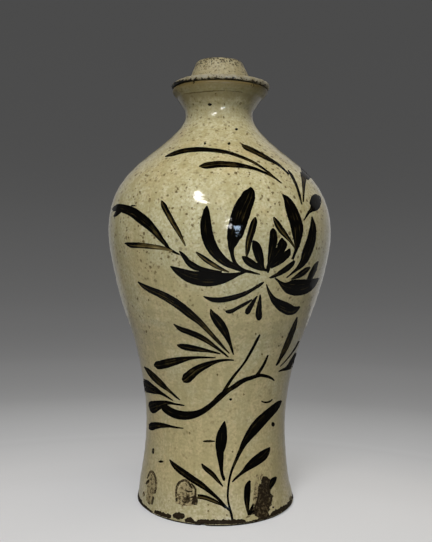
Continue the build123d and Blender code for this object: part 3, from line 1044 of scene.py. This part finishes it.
class Recipe:
    """One material's nodes: each call adds a node, sets its plain inputs and links the sockets given."""

    def __init__(self, name):
        self.material = bpy.data.materials.new(name)
        self.material.use_nodes = True
        self.tree = self.material.node_tree
        self.tree.nodes.clear()
        self.places = self.add("ShaderNodeTexCoord").outputs["Object"]

    def add(self, kind, inputs=None, **settings):
        """A node with its settings, and its inputs by name or number."""
        node = self.tree.nodes.new(kind)
        for key, value in settings.items():
            setattr(node, key, value)
        for key, value in (inputs or {}).items():
            if isinstance(value, bpy.types.NodeSocket):
                self.tree.links.new(value, node.inputs[key])
            else:
                node.inputs[key].default_value = value
        return node

    def height(self):
        """Height above the table."""
        return self.add("ShaderNodeSeparateXYZ", {"Vector": self.places}).outputs["Z"]

    def level_distance(self, middle=(0.0, 0.0, 0.0)):
        """Distance from an upright line through a point."""
        out = self.add("ShaderNodeVectorMath", {0: self.places, 1: middle}, operation="SUBTRACT").outputs[0]
        flat = self.add("ShaderNodeVectorMath", {0: out, 1: (1.0, 1.0, 0.0)}, operation="MULTIPLY").outputs[0]
        return self.add("ShaderNodeVectorMath", {0: flat}, operation="LENGTH").outputs["Value"]

    def noise(self, size, detail=2.0, roughness=0.5, places=None):
        """Soft noise with features of about a size in metres."""
        return self.add("ShaderNodeTexNoise", {
            "Vector": places or self.places, "Scale": 1 / size, "Detail": detail, "Roughness": roughness,
        }).outputs["Fac"]

    def between(self, value, low, high, to_low=0.0, to_high=1.0):
        """A value brought smoothly from one span to another."""
        return self.add("ShaderNodeMapRange", {
            "Value": value, "From Min": low, "From Max": high, "To Min": to_low, "To Max": to_high,
        }, interpolation_type="SMOOTHSTEP").outputs["Result"]

    def math(self, operation, *values):
        """Arithmetic on values."""
        return self.add("ShaderNodeMath", dict(enumerate(values)), operation=operation).outputs[0]

    def mix(self, share, first, second):
        """One colour turned into another by a share."""
        colours = [c if isinstance(c, bpy.types.NodeSocket) else (*c, 1.0) for c in (first, second)]
        return self.add(
            "ShaderNodeMix", {0: share, 6: colours[0], 7: colours[1]}, data_type="RGBA"
        ).outputs[2]

    def specks(self, spacing, radius, share):
        """Round specks scattered through the clay, 1 inside them: spacing and radius in metres."""
        cells = self.add("ShaderNodeTexVoronoi", {"Vector": self.places, "Scale": 1 / spacing})
        ragged = self.math("ADD", cells.outputs["Distance"], self.between(
            self.noise(radius * 0.8), 0.3, 0.7, -0.25 * radius / spacing, 0.25 * radius / spacing))
        draw = self.add("ShaderNodeSeparateColor", {"Color": cells.outputs["Color"]})
        size = self.math("MULTIPLY", self.between(draw.outputs["Green"], 0, 1, 0.45, 1.0), radius / spacing)
        inside = self.between(self.math("DIVIDE", ragged, size), 0.6, 1.15, 1.0, 0.0)
        return self.math("MULTIPLY", inside, self.math("LESS_THAN", draw.outputs["Red"], share))

    def finish(self, colour, roughness, bump=None, **plain):
        """The shader and its output."""
        inputs = {"Base Color": colour, "Roughness": roughness, **plain}
        if bump is not None:
            inputs["Normal"] = bump
        shader = self.add("ShaderNodeBsdfPrincipled", inputs)
        self.add("ShaderNodeOutputMaterial", {"Surface": shader.outputs[0]})
        return self.material

    def bump(self, height, depth):
        """Fine unevenness of a surface, of a depth in metres."""
        return self.add("ShaderNodeBump", {
            "Strength": 1.0, "Distance": depth, "Height": height,
        }).outputs["Normal"]


def glaze_colour(recipe, colours):
    """Mottled celadon with iron specks through it, warmer below the belly with painted shade and paler at the
    foot with painted bounce light.
    """
    height = recipe.height()
    # More of the warm glaze below the belly: a browner glaze there, with painted shade on the lower body that
    # faces down
    lower = recipe.between(height, 0.2, 0.14, 0.0, 0.19)
    blush = recipe.between(recipe.math("ADD", recipe.noise(0.032, 5, 0.65), lower), 0.47, 0.7)
    pools = recipe.between(recipe.noise(0.012, 5, 0.7), 0.44, 0.68, 0.0, 0.45)
    grain = recipe.between(recipe.noise(0.0017, 2, 0.6), 0.3, 0.7, 0.0, 0.85)
    upright = recipe.add("ShaderNodeMapping", {"Vector": recipe.places, "Scale": (1.0, 1.0, 0.06)}).outputs[0]
    runs = recipe.between(recipe.noise(0.008, 3, 0.6, upright), 0.46, 0.66, 0.0, 0.6)
    colour = recipe.mix(blush, colours.glaze, colours.glaze_warm)
    # Paler towards the foot: thinner glaze with painted floor bounce light
    colour = recipe.mix(recipe.between(height, 0.035, 0.006, 0.0, 0.6), colour, colours.glaze_foot)
    for share in (pools, runs, grain):
        colour = recipe.mix(share, colour, colours.glaze_olive)
    large = recipe.math("MULTIPLY", recipe.specks(0.0042, 0.0013, 0.85), 0.95)
    small = recipe.math("MULTIPLY", recipe.specks(0.0028, 0.00085, 0.75), 0.7)
    clusters = recipe.between(recipe.noise(0.035, 3), 0.36, 0.56, 0.35, 1.0)
    clusters = recipe.math("MULTIPLY", clusters, recipe.between(height, 0.08, 0.2, 0.35, 1.0))
    specks = recipe.math("MULTIPLY", recipe.math("MAXIMUM", large, small), clusters)
    return recipe.mix(specks, colour, colours.iron)


def glaze_finish(recipe, colour, sheen, gloss=1.0):
    """The surface of the glaze over any colour: a broad sheen under a sharp gloss, slightly dimpled."""
    rough = recipe.between(recipe.noise(0.009, 3), 0.3, 0.7, 0.3, 0.42)
    peel = recipe.math(
        "ADD", recipe.math("MULTIPLY", recipe.noise(0.0046, 2), 0.5),
        recipe.math("MULTIPLY", recipe.noise(0.0014, 1), 0.25))
    dimples = recipe.bump(peel, 0.00014)
    return recipe.finish(colour, rough, dimples, **{
        "IOR": 1.4, "Specular IOR Level": sheen, "Coat Weight": gloss, "Coat Roughness": 0.03,
        "Coat IOR": 1.25, "Coat Normal": dimples})


def mottled_celadon(colours, rim_height):
    """Glossy olive celadon over speckled clay, brown under the mouth with stains and painted shade, and
    darker on the lip with painted shade.
    """
    recipe = Recipe("mottled_celadon")
    colour = glaze_colour(recipe, colours)
    height = recipe.height()
    # Brown under the mouth: real stains together with painted shade from the flared mouth and the lid's brim,
    # darkest just under the rim
    wander = recipe.between(recipe.noise(0.009, 4, 0.6), 0.3, 0.7, -0.002, 0.002)
    stain_and_shade_share = recipe.between(
        recipe.math("ADD", height, wander), rim_height - 0.0185, rim_height - 0.0095, 0.0, 0.85)
    stain_and_shade_share = recipe.math(
        "MULTIPLY", stain_and_shade_share, recipe.between(height, rim_height - 0.0078, rim_height - 0.0066, 1.0, 0.78))
    blotches = recipe.math(
        "MULTIPLY", recipe.between(recipe.noise(0.013, 4, 0.6), 0.44, 0.6, 0.0, 0.42),
        recipe.between(height, rim_height - 0.027, rim_height - 0.014))
    faint = recipe.between(height, rim_height - 0.032, rim_height - 0.016, 0.0, 0.42)
    for stain in (faint, blotches, recipe.between(height, rim_height - 0.004, rim_height - 0.002)):
        stain_and_shade_share = recipe.math("MAXIMUM", stain_and_shade_share, stain)
    colour = recipe.mix(stain_and_shade_share, colour, colours.stain)
    # The lip under the brim is darkened with the iron colour as painted shade
    lip = recipe.between(height, rim_height - 0.0055, rim_height - 0.003, 0.0, 0.5)
    gloss = recipe.math(
        "MULTIPLY", recipe.between(height, 0.01, 0.14, 0.3, 1.0),
        recipe.between(height, rim_height - 0.008, rim_height - 0.006, 1.0, 0.0))
    return glaze_finish(recipe, recipe.mix(lip, colour, colours.iron), 0.12, gloss)


def iron_brushwork(colours):
    """Iron pigment under the glaze: dark where the brush was full, streaked brown where it ran thin."""
    recipe = Recipe("iron_brushwork")
    ink = recipe.add("ShaderNodeAttribute", attribute_name="ink").outputs["Fac"]
    run = recipe.add("ShaderNodeAttribute", attribute_name="run").outputs["Vector"]
    stretched = recipe.add("ShaderNodeMapping", {"Vector": run, "Scale": (0.05, 1.0, 0.0)}).outputs[0]
    bristles = recipe.noise(0.0013, 3, 0.65, stretched)
    blots = recipe.noise(0.006, 3)
    thickness = recipe.math("ADD", ink, recipe.between(bristles, 0.34, 0.66, -0.52, 0.3))
    thickness = recipe.math("ADD", thickness, recipe.between(blots, 0.3, 0.7, -0.16, 0.2))
    side = recipe.add("ShaderNodeSeparateXYZ", {"Vector": run}).outputs["Z"]
    pooled = recipe.between(recipe.math("ABSOLUTE", side), 0.4, 0.9, 0.0, 0.6)
    thickness = recipe.math("ADD", thickness, pooled)
    colour = recipe.mix(recipe.between(thickness, -0.5, 0.1), colours.ink_wash, colours.ink_thin)
    colour = recipe.mix(recipe.between(thickness, 0.0, 0.75), colour, colours.ink)
    return glaze_finish(recipe, colour, 0.0, recipe.between(recipe.height(), 0.1, 0.17, 0.1, 0.45))


def bare_clay(colours):
    """Rough scorched clay where the glaze is missing."""
    recipe = Recipe("bare_clay")
    ink = recipe.add("ShaderNodeAttribute", attribute_name="ink").outputs["Fac"]
    crust = recipe.noise(0.0019, 4, 0.7)
    scorch = recipe.math("ADD", ink, recipe.between(crust, 0.32, 0.68, 0.38, -0.38))
    colour = recipe.mix(recipe.between(scorch, 0.0, 0.35), colours.clay_pale, colours.clay_brown)
    colour = recipe.mix(recipe.between(scorch, 0.3, 0.75), colour, colours.clay)
    rough = recipe.between(crust, 0.3, 0.7, 0.9, 0.6)
    return recipe.finish(colour, rough, recipe.bump(crust, 0.0004), **{"Specular IOR Level": 0.08})


def worn_celadon(colours, brim_radius, rim_height, lid_height):
    """Dull worn glaze on the lid: bare and pale round the brim, black along its lower edge with painted
    shadow and worn dark clay, and speckled on the crown.
    """
    recipe = Recipe("worn_celadon")
    colour = recipe.mix(0.5, glaze_colour(recipe, colours), colours.lid_wear)
    split = recipe.add("ShaderNodeSeparateXYZ", {"Vector": recipe.places}).outputs
    reach = recipe.level_distance()
    blots = recipe.between(recipe.noise(0.0024, 4, 0.7), 0.55, 0.68, 0.0, 0.8)
    colour = recipe.mix(blots, colour, colours.iron)
    # Darker where the crown rises from the brim
    crown_foot = recipe.between(split["Z"], rim_height + 0.0064, rim_height + 0.0052, 0.0, 0.6)
    colour = recipe.mix(crown_foot, colour, colours.stain)
    crown_edge = recipe.math(
        "MULTIPLY", recipe.between(split["Z"], lid_height - 0.009, lid_height - 0.001, 0.0, 0.13),
        recipe.between(reach, 0.0115, 0.0145))
    grit = recipe.between(recipe.math("ADD", recipe.noise(0.0014, 2, 0.5), crown_edge), 0.62, 0.68, 0.0, 0.9)
    colour = recipe.mix(grit, colour, colours.clay)
    brim = recipe.between(reach, brim_radius - 0.0035, brim_radius - 0.0018)
    patches = recipe.between(recipe.noise(0.004, 4, 0.65), 0.36, 0.56, 0.25, 0.95)
    colour = recipe.mix(recipe.math("MULTIPLY", brim, patches), colour, colours.brim_pale)
    # A dark line along the brim's lower edge, taller at the worn left and lower at the right: painted shadow
    # where the brim overhangs the mouth, and dark worn clay at the left
    wander = recipe.between(recipe.noise(0.0022, 4, 0.7), 0.32, 0.68, -0.0014, 0.0014)
    ragged_left = recipe.between(split["X"], -0.014, -0.031, 0.0, 0.0009)
    above = recipe.math("SUBTRACT", recipe.math("ADD", split["Z"], wander), ragged_left)
    above = recipe.math("ADD", above, recipe.between(split["X"], 0.012, 0.03, 0.0, 0.001))
    for tint, top in ((colours.iron, 0.0013), (colours.ink, 0.0008)):
        shadow_and_worn_edge = recipe.between(above, rim_height + top, rim_height + top - 0.0005)
        colour = recipe.mix(recipe.math("MULTIPLY", shadow_and_worn_edge, brim), colour, tint)
    gloss = recipe.between(recipe.noise(0.006, 3), 0.3, 0.7, 0.35, 0.55)
    peel = recipe.noise(0.0018, 3)
    return recipe.finish(colour, gloss, recipe.bump(peel, 0.00025), **{"IOR": 1.3})


def settings():
    """The form, the colours and the stage of the scene."""
    scene = bpy.context.scene
    return scene.meiping_form, scene.meiping_colours, scene.meiping_stage


def material(make, *ingredients):
    """A material made once, under its maker's name, and shared after that."""
    return bpy.data.materials.get(make.__name__) or make(*ingredients)


def glazed_coats(piece_name, strokes, coat, lift_share=1.0, ragged=0.05, turn=0.0, round_vase=False):
    """A piece made of coats of a material laid on the vase, which rides with it."""
    form, colours, stage = settings()
    surface = VaseSurface(form)
    shape = bmesh.new()
    for seed, (start, end, points) in enumerate(strokes):
        if round_vase:
            angle, height = stroke_round_vase(surface, points, ragged, seed)
        else:
            angle, height = stroke_under_pixels(surface, points, stage, ragged, seed)
        lift = form.coat_lift * (lift_share + LIFT_GROWTH * seed)
        lay_coat(shape, surface, angle + turn, height, (start, end), lift)
    piece = finished(piece_name, shape)
    piece.data.materials.append(material(coat, colours))
    close_coat(piece, form.coat_depth)
    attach(piece, "vase")
    return piece


class MEIPING_OT_vase(bpy.types.Operator):
    """Glazed vase, spun in one from the sections of its three thrown pieces"""

    bl_idname = "meiping.vase"
    bl_label = "Glazed Vase"

    def execute(self, context):
        form, colours, _ = settings()
        surface = VaseSurface(form)
        piece = spun("glazed_vase", surface.line, form.segments)

        def uneven(places):
            angle = np.arctan2(places[:, 1], places[:, 0])
            reach = np.hypot(places[:, 0], places[:, 1])
            skin = np.interp(places[:, 2], surface.heights, surface.radii)
            on_wall = np.abs(reach - skin) < ON_WALL
            moved = reach + np.where(on_wall, surface.relief(angle, places[:, 2]), 0.0)
            return round_axis(moved, angle, places[:, 2])

        move_vertices(piece, uneven)
        rim_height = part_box("neck")[1][2]
        piece.data.materials.append(material(mottled_celadon, colours, rim_height))
        piece.data.materials.append(material(bare_clay, colours))
        scorch = piece.data.attributes.new("ink", "FLOAT", "POINT")
        scorch.data.foreach_set("value", np.full(len(piece.data.vertices), FULL))
        for face in piece.data.polygons:
            face.material_index = int(face.center.z < form.bare_edge)
        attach(piece, "vase")
        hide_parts(*VASE_NODES)
        return {"FINISHED"}


class MEIPING_OT_lid(bpy.types.Operator):
    """Loose lid with a worn and chipped brim"""

    bl_idname = "meiping.lid"
    bl_label = "Lid"

    def execute(self, context):
        colours = settings()[1]
        line, _ = even_section(half_section(("lid",)), LID_ROW_HEIGHT, LID_ROW_HEIGHT)
        piece = spun("lid_cover", line, LID_SEGMENTS)
        brim = line[:, 0].max()
        rim_height, lid_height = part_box("neck")[1][2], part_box("lid")[1][2]

        def worn(places):
            angle = np.arctan2(places[:, 1], places[:, 0])
            reach = np.hypot(places[:, 0], places[:, 1])
            chips = np.sin(23 * angle) + np.sin(37 * angle + 1.3) + np.sin(61 * angle + 0.4)
            depth = CHIP_DEPTH * np.maximum(chips, 0) + BRIM_WAVE * np.sin(3 * angle)
            near_edge = np.clip((reach - brim + BRIM_EDGE) / BRIM_EDGE, 0, 1) ** 2
            moved = reach - depth * near_edge
            # The brim is worn thin at the left, and the crown leans that way
            at_left = np.exp(-((wrapped(angle - pi) / WEAR_HALF_WIDTH) ** 4))
            thin = at_left * np.clip((reach - brim + WEAR_REACH) / WEAR_FADE, 0, 1)
            height = places[:, 2] - BRIM_WEAR * thin * np.maximum(places[:, 2] - rim_height, 0)
            lean = CROWN_LEAN * np.clip((places[:, 2] - rim_height) / (lid_height - rim_height), 0, 1)
            worn_places = round_axis(moved, angle, height)
            worn_places[:, 0] -= lean
            return worn_places

        move_vertices(piece, worn)
        piece.data.materials.append(material(worn_celadon, colours, brim, rim_height, lid_height))
        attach(piece, "lid")
        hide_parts("lid")
        return {"FINISHED"}


class MEIPING_OT_painting(bpy.types.Operator):
    """Brush painting on the photographed side, and the leaves that run on over its edge"""

    bl_idname = "meiping.painting"
    bl_label = "Brush Painting"

    def execute(self, context):
        for name, strokes in (
            ("shoulder_leaves", SHOULDER_LEAVES), ("left_sprig", LEFT_SPRIG), ("flower", FLOWER),
            ("leaf_fan", LEAF_FAN), ("low_left_fan", LOW_LEFT_FAN), ("branch", BRANCH),
            ("right_sprig", RIGHT_SPRIG), ("foot_spray", FOOT_SPRAY),
        ):
            glazed_coats(name, strokes.values(), iron_brushwork, ragged=0.025)
        glazed_coats("edge_leaves", OVER_THE_EDGE.values(), iron_brushwork, round_vase=True)
        return {"FINISHED"}


class MEIPING_OT_back_painting(bpy.types.Operator):
    """The spray again on the far side, as the hand repeats it"""

    bl_idname = "meiping.back_painting"
    bl_label = "Back Painting"

    def execute(self, context):
        for name, strokes in (
            ("back_shoulder_leaves", SHOULDER_LEAVES), ("back_flower", FLOWER),
            ("back_leaf_fan", LEAF_FAN), ("back_branch", BRANCH), ("back_foot_spray", FOOT_SPRAY),
        ):
            glazed_coats(name, strokes.values(), iron_brushwork, ragged=0.12, turn=pi)
        return {"FINISHED"}


class MEIPING_OT_foot_marks(bpy.types.Operator):
    """Finger marks, the bare scar and the bare band at the foot"""

    bl_idname = "meiping.foot_marks"
    bl_label = "Foot Marks"

    def execute(self, context):
        glazed_coats("finger_marks", FINGER_MARKS.values(), bare_clay, ragged=0.25)
        glazed_coats("bare_scar", SCAR.values(), bare_clay, ragged=0.22, lift_share=1.5)
        glazed_coats("foot_band", FOOT_BAND.values(), bare_clay, ragged=0.3)
        glazed_coats("foot_band_behind", FOOT_BAND_BEHIND.values(), bare_clay, ragged=0.3, round_vase=True)
        return {"FINISHED"}


class MEIPING_OT_iron_flecks(bpy.types.Operator):
    """Larger iron flecks that burst through the glaze, and stains at the mouth"""

    bl_idname = "meiping.iron_flecks"
    bl_label = "Iron Flecks"

    def execute(self, context):
        strokes = []
        for column, row, width, height in IRON_FLECKS:
            wide = width >= height
            reach = np.array((width / 2, 0) if wide else (0, height / 2))
            girth = height if wide else width
            places = [np.array((column, row)) + reach * along for along in FLECK_PLACES]
            points = [(*place, girth * share) for place, share in zip(places, FLECK_WIDTHS)]
            tone = FULL if max(width, height) > FAINT_FLECK else WASH
            strokes.append((tone, tone, points))
        glazed_coats("iron_flecks", strokes, iron_brushwork, ragged=0.2)
        glazed_coats("neck_marks", NECK_MARKS.values(), iron_brushwork, ragged=0.3)
        return {"FINISHED"}


class MEIPING_OT_stage(bpy.types.Operator):
    """Floor and backdrop in one sweep, lamps, surrounding light and the photograph's camera"""

    bl_idname = "meiping.stage"
    bl_label = "Stage"

    def execute(self, context):
        stage = settings()[2]
        self.sweep(stage)
        wide, pane = (0.9, 0.9), (0.095, 0.13)
        window, card = stage.window_level, stage.card_level
        for entry in (
            ("key_lamp", False, -17, 36, (0.2, 0.54), IVORY, stage.key_level, 40, FAR),
            ("key_gleam", True, -21, 36, (0.17, 0.5), WHITE, stage.gleam_level, 40, 1.49),
            ("left_pane", True, 15.4, 5.8, pane, COOL, window, 0, FAR),
            ("right_pane", True, 19.4, 6.8, pane, COOL, window, 0, FAR),
            ("low_pane", True, 17.6, 2.4, pane, COOL, window, 0, FAR),
            ("upper_lamp", False, 5, 55, wide, WHITE, stage.upper_level, 0, FAR),
            ("side_lamp", False, 58, 67, (1.8, 1.8), WARM, stage.side_level, 0, FAR),
            ("overhead_lamp", False, 30, 78, wide, WARM, stage.overhead_level, 0, FAR),
            ("right_flank_lamp", False, 122, 12, wide, WARM, stage.flank_level, 0, FAR),
            ("left_flank_lamp", False, -132, 12, wide, WARM, stage.flank_level * LEFT_SHARE, 0, FAR),
            ("fill_lamp", False, 4, 10, (0.25, 0.25), DAYLIGHT, stage.fill_level, 0, NEAR),
            ("spark_lamp", True, 9, 8, (0.11, 0.2), WHITE, stage.spark_level, 0, FAR),
            ("left_card", True, -141, 18, (0.22, 0.6), WHITE, card * LEFT_SHARE, 0, NEAR),
            ("right_card", True, 133, 18, (0.37, 0.6), WHITE, card, 0, NEAR),
        ):
            self.lamp(*entry)
        self.surroundings(stage)
        self.camera(stage)
        context.scene.view_settings.view_transform = "Standard"
        return {"FINISHED"}

    def sweep(self, stage):
        """A round floor that curves up into a wall, with painted light: pale at the vase and darker away from
        it, glowing to the camera and in reflections.
        """
        shape = bmesh.new()
        corners = [
            shape.verts.new(p)
            for p in ((0, 0, 0), (SWEEP_RADIUS, 0, 0), (SWEEP_RADIUS, 0, SWEEP_HEIGHT))
        ]
        for pair in zip(corners, corners[1:]):
            shape.edges.new(pair)
        bmesh.ops.bevel(
            shape, geom=[corners[1]], offset=SWEEP_CURVE, offset_type="OFFSET", affect="VERTICES",
            segments=16, profile=0.5, material=-1,
        )
        bmesh.ops.spin(
            shape, geom=shape.verts[:] + shape.edges[:], cent=(0, 0, 0), axis=(0, 0, 1), dvec=(0, 0, 0),
            angle=2 * pi, steps=96, use_merge=True, use_duplicate=False,
        )
        bmesh.ops.remove_doubles(shape, verts=shape.verts, dist=MERGE)
        bmesh.ops.recalc_face_normals(shape, faces=shape.faces)
        floor = finished("floor_sweep", shape)
        recipe = Recipe("sweep_paper")
        away = recipe.math("ADD", recipe.level_distance(PALE_POINT), recipe.height())
        farthest = SWEEP_TONES[-1][0]
        fall = recipe.add("ShaderNodeValToRGB", {"Fac": recipe.math("DIVIDE", away, farthest)})
        stops = fall.color_ramp.elements
        fall.color_ramp.interpolation = "CARDINAL"
        for place, _ in SWEEP_TONES[1:-1]:
            stops.new(place / farthest)
        for stop, (place, grey) in zip(stops, SWEEP_TONES):
            stop.position = place / farthest
            stop.color = (grey, grey, grey, 1.0)
        tone = fall.outputs["Color"]
        seen = recipe.add("ShaderNodeLightPath").outputs
        shown = recipe.math("MAXIMUM", seen["Is Camera Ray"], seen["Is Glossy Ray"])
        shown = recipe.math("MAXIMUM", shown, seen["Is Transmission Ray"])
        # The lamps give only a share of the tone, a larger one near the vase so that shadows show there; the
        # rest is painted light that glows
        more = recipe.between(away, 0.3, 0.44, stage.floor_shadow - stage.wall_shadow, 0.0)
        lit = recipe.math("ADD", stage.wall_shadow, recipe.math("MULTIPLY", shown, more))
        glow = recipe.math("MULTIPLY", shown, recipe.math("SUBTRACT", 1.0, lit))
        cooled = recipe.add("ShaderNodeVectorMath", {
            0: tone, 1: PAPER_TINT}, operation="MULTIPLY").outputs[0]
        shade = recipe.mix(lit, (0.0, 0.0, 0.0), cooled)
        floor.data.materials.append(recipe.finish(shade, 0.9, **{
            "Specular IOR Level": 0.0, "Emission Color": tone, "Emission Strength": glow}))

    def lamp(self, name, reflected, azimuth, elevation, size, colour, level, roll, away):
        """A soft rectangular lamp that faces the middle of the vase, and either lights it or shows only as
        a reflection. Azimuth 0 is on the camera's side, and a level of 1 shows a surface that faces the
        lamp in its own colour."""
        light = bpy.data.lights.new(name, "AREA")
        light.shape = "RECTANGLE"
        light.size, light.size_y = size
        light.color, light.energy = colour, level * (pi * away) ** 2
        lamp = bpy.data.objects.new(name, light)
        turn = Matrix.Rotation(radians(azimuth), 4, "Z") @ Matrix.Rotation(radians(90 - elevation), 4, "X")
        middle = Matrix.Translation((0, 0, (cad_box[0][2] + cad_box[1][2]) / 2))
        out = Matrix.Translation((0, 0, away)) @ Matrix.Rotation(radians(roll), 4, "Z")
        lamp.matrix_world = middle @ turn @ out
        lamp.visible_camera = False
        lamp.visible_glossy = reflected
        lamp.visible_diffuse = not reflected
        bpy.context.scene.collection.objects.link(lamp)

    def surroundings(self, stage):
        """Even grey light from all round."""
        world = bpy.data.worlds.new("studio")
        world.use_nodes = True
        background = world.node_tree.nodes["Background"]
        background.inputs["Color"].default_value = (1.0, 1.0, 1.0, 1.0)
        background.inputs["Strength"].default_value = stage.world_level
        bpy.context.scene.world = world

    def camera(self, stage):
        """The camera at the photograph's place."""
        lens = bpy.data.cameras.new("photo_camera")
        lens.lens, lens.sensor_width = stage.lens, SENSOR
        camera = bpy.data.objects.new("photo_camera", lens)
        turn = Matrix.Rotation(stage.camera_pitch, 4, "X") @ Matrix.Rotation(stage.camera_roll, 4, "Z")
        camera.matrix_world = Matrix.Translation(stage.camera_place) @ turn
        bpy.context.scene.collection.objects.link(camera)
        bpy.context.scene.camera = camera


class MEIPING_PT_maker(bpy.types.Panel):
    """Makes the pieces of the meiping vase"""

    bl_label = "Meiping Vase"
    bl_idname = "MEIPING_PT_maker"
    bl_space_type = "VIEW_3D"
    bl_region_type = "UI"
    bl_category = "Meiping"

    def draw(self, context):
        for maker in MAKERS:
            self.layout.operator(maker.bl_idname)
        for group in settings():
            for key in group.__annotations__:
                self.layout.prop(group, key)


SETTING_GROUPS = {
    "meiping_form": MeipingForm,
    "meiping_colours": MeipingColours,
    "meiping_stage": MeipingStage,
}
MAKERS = (
    MEIPING_OT_vase,
    MEIPING_OT_lid,
    MEIPING_OT_painting,
    MEIPING_OT_back_painting,
    MEIPING_OT_foot_marks,
    MEIPING_OT_iron_flecks,
    MEIPING_OT_stage,
)


def register():
    for entry in (*SETTING_GROUPS.values(), *MAKERS, MEIPING_PT_maker):
        bpy.utils.register_class(entry)
    for key, group in SETTING_GROUPS.items():
        setattr(bpy.types.Scene, key, PointerProperty(type=group))


def unregister():
    for key in SETTING_GROUPS:
        delattr(bpy.types.Scene, key)
    for entry in reversed((*SETTING_GROUPS.values(), *MAKERS, MEIPING_PT_maker)):
        bpy.utils.unregister_class(entry)


def main():
    register()
    for maker in MAKERS:
        group, action = maker.bl_idname.split(".")
        getattr(getattr(bpy.ops, group), action)()


if __name__ == "__main__":
    main()
